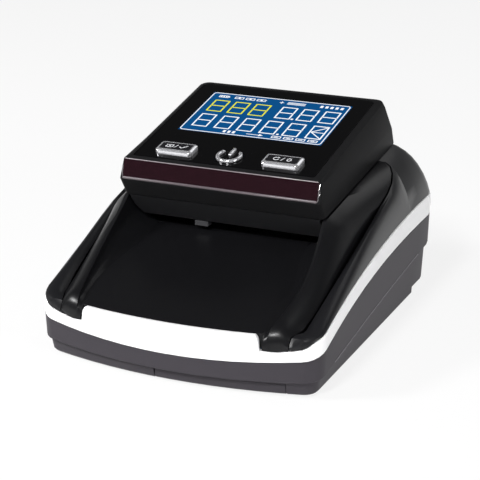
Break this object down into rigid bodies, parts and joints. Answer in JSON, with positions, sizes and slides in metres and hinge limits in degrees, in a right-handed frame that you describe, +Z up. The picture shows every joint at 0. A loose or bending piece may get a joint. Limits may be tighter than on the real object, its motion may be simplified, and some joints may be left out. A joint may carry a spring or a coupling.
{
  "type": "banknote counting machine",
  "caption": "Compact desktop banknote counter: bow-fronted feed tray runs up under a flip-up head with a display and keys; roller feed inside, notes leave at the rear.",
  "frame": {"origin": "centre of the outline in plan, on the table under the rubber feet", "axes": "+Z up, -Y towards the user at the feed tray, +X to the right of the user"},
  "size_m": [0.1266, 0.1626, 0.0925],
  "materials": {
    "black_satin": "moulded ABS, fine satin texture",
    "black_gloss": "gloss black moulded panel",
    "fascia_red": "dark red-brown translucent gloss strip",
    "base_grey": "moulded ABS, matte spark texture",
    "band_white": "gloss white moulded trim",
    "display_blue": "blue backlit display",
    "window": "clear polished window",
    "key_metal": "chrome plated key",
    "steel": "turned or stamped steel",
    "bronze": "sintered bronze",
    "rubber": "moulded rubber",
    "nylon": "moulded acetal",
    "board_green": "solder-masked circuit board",
    "sensor_grey": "smoked sensor lens",
    "silicone": "moulded silicone mat",
    "battery_sleeve": "shrink sleeve over battery cells"
  },
  "bodies": {
    "chassis": {"lower_shell": "base_grey", "trim_band": "band_white", "upper_shell": "black_satin", "tray_deck": "black_satin", "lower_guide": "black_satin", "power_jack": "black_satin", "buzzer": "black_satin", "lower_sensor_window": "window", "main_board": "board_green", "left_side_plate": "steel", "right_side_plate": "steel", "drive_motor": "steel", "magnetic_head": "steel", "data_port": "steel", "idler_pin": "steel", "hinge_pin_left": "steel", "hinge_pin_right": "steel", "base_screw_front_left": "steel", "base_screw_front_right": "steel", "base_screw_rear_left": "steel", "base_screw_rear_right": "steel", "front_left_bush": "bronze", "front_right_bush": "bronze", "rear_left_bush": "bronze", "rear_right_bush": "bronze", "foot_front_left": "rubber", "foot_front_right": "rubber", "foot_rear_left": "rubber", "foot_rear_right": "rubber", "battery_pack": "battery_sleeve"},
    "head": {"head_shell": "black_satin", "top_panel": "black_gloss", "front_fascia": "fascia_red", "upper_guide": "black_satin", "display_window": "window", "display_module": "display_blue", "display_board": "board_green", "keypad": "silicone", "entry_sensor": "sensor_grey", "upper_sensor_window": "window", "front_pinch_spring": "steel", "rear_pinch_spring": "steel"},
    "left_key": {"left_button": "key_metal"},
    "power_key": {"power_button": "key_metal"},
    "right_key": {"right_button": "key_metal"},
    "front_drive": {"front_drive_shaft": "steel", "front_roller_left": "rubber", "front_roller_right": "rubber", "front_drive_gear": "nylon"},
    "rear_drive": {"rear_drive_shaft": "steel", "rear_roller_left": "rubber", "rear_roller_right": "rubber", "rear_drive_gear": "nylon"},
    "idler": {"idler_gear": "nylon"},
    "pinion": {"motor_pinion": "bronze", "motor_shaft": "steel"},
    "front_pinch": {"front_pinch_roller": "nylon"},
    "rear_pinch": {"rear_pinch_roller": "nylon"},
    "battery_cover": {"battery_door": "base_grey"}
  },
  "joints": [
    {"name": "head_flip", "type": "hinge", "parent": "chassis", "child": "head", "pos_m": [0, 0.0663, 0.0692], "axis": [-1, 0, 0], "range_deg": [0, 65]},
    {"name": "left_button_press", "type": "slide", "parent": "head", "child": "left_key", "axis": [0, 0.2028, -0.9792], "range_m": [0, 0.0012], "stiffness_N_per_m": 700},
    {"name": "power_button_press", "type": "slide", "parent": "head", "child": "power_key", "axis": [0, 0.2028, -0.9792], "range_m": [0, 0.0012], "stiffness_N_per_m": 700},
    {"name": "right_button_press", "type": "slide", "parent": "head", "child": "right_key", "axis": [0, 0.2028, -0.9792], "range_m": [0, 0.0012], "stiffness_N_per_m": 700},
    {"name": "front_drive_spin", "type": "hinge", "parent": "chassis", "child": "front_drive", "pos_m": [0, 0.0083, 0.035], "axis": [1, 0, 0], "continuous": true},
    {"name": "rear_drive_spin", "type": "hinge", "parent": "chassis", "child": "rear_drive", "pos_m": [0, 0.0523, 0.035], "axis": [1, 0, 0], "continuous": true},
    {"name": "idler_spin", "type": "hinge", "parent": "chassis", "child": "idler", "pos_m": [0, 0.0303, 0.035], "axis": [1, 0, 0], "continuous": true},
    {"name": "pinion_spin", "type": "hinge", "parent": "chassis", "child": "pinion", "pos_m": [0, 0.0303, 0.018], "axis": [1, 0, 0], "continuous": true},
    {"name": "front_pinch_spin", "type": "hinge", "parent": "head", "child": "front_pinch", "pos_m": [0, 0.0083, 0.0513], "axis": [1, 0, 0], "continuous": true},
    {"name": "rear_pinch_spin", "type": "hinge", "parent": "head", "child": "rear_pinch", "pos_m": [0, 0.0523, 0.0513], "axis": [1, 0, 0], "continuous": true},
    {"name": "battery_door_slide", "type": "slide", "parent": "chassis", "child": "battery_cover", "axis": [0, -1, 0], "range_m": [0, 0.045]}
  ],
  "couplings": [
    {"joint": "rear_drive_spin", "follows": "front_drive_spin", "ratio": 1},
    {"joint": "idler_spin", "follows": "front_drive_spin", "ratio": -0.83333},
    {"joint": "pinion_spin", "follows": "front_drive_spin", "ratio": 2},
    {"joint": "front_pinch_spin", "follows": "front_drive_spin", "ratio": -1.6667},
    {"joint": "rear_pinch_spin", "follows": "front_drive_spin", "ratio": -1.6667}
  ]
}
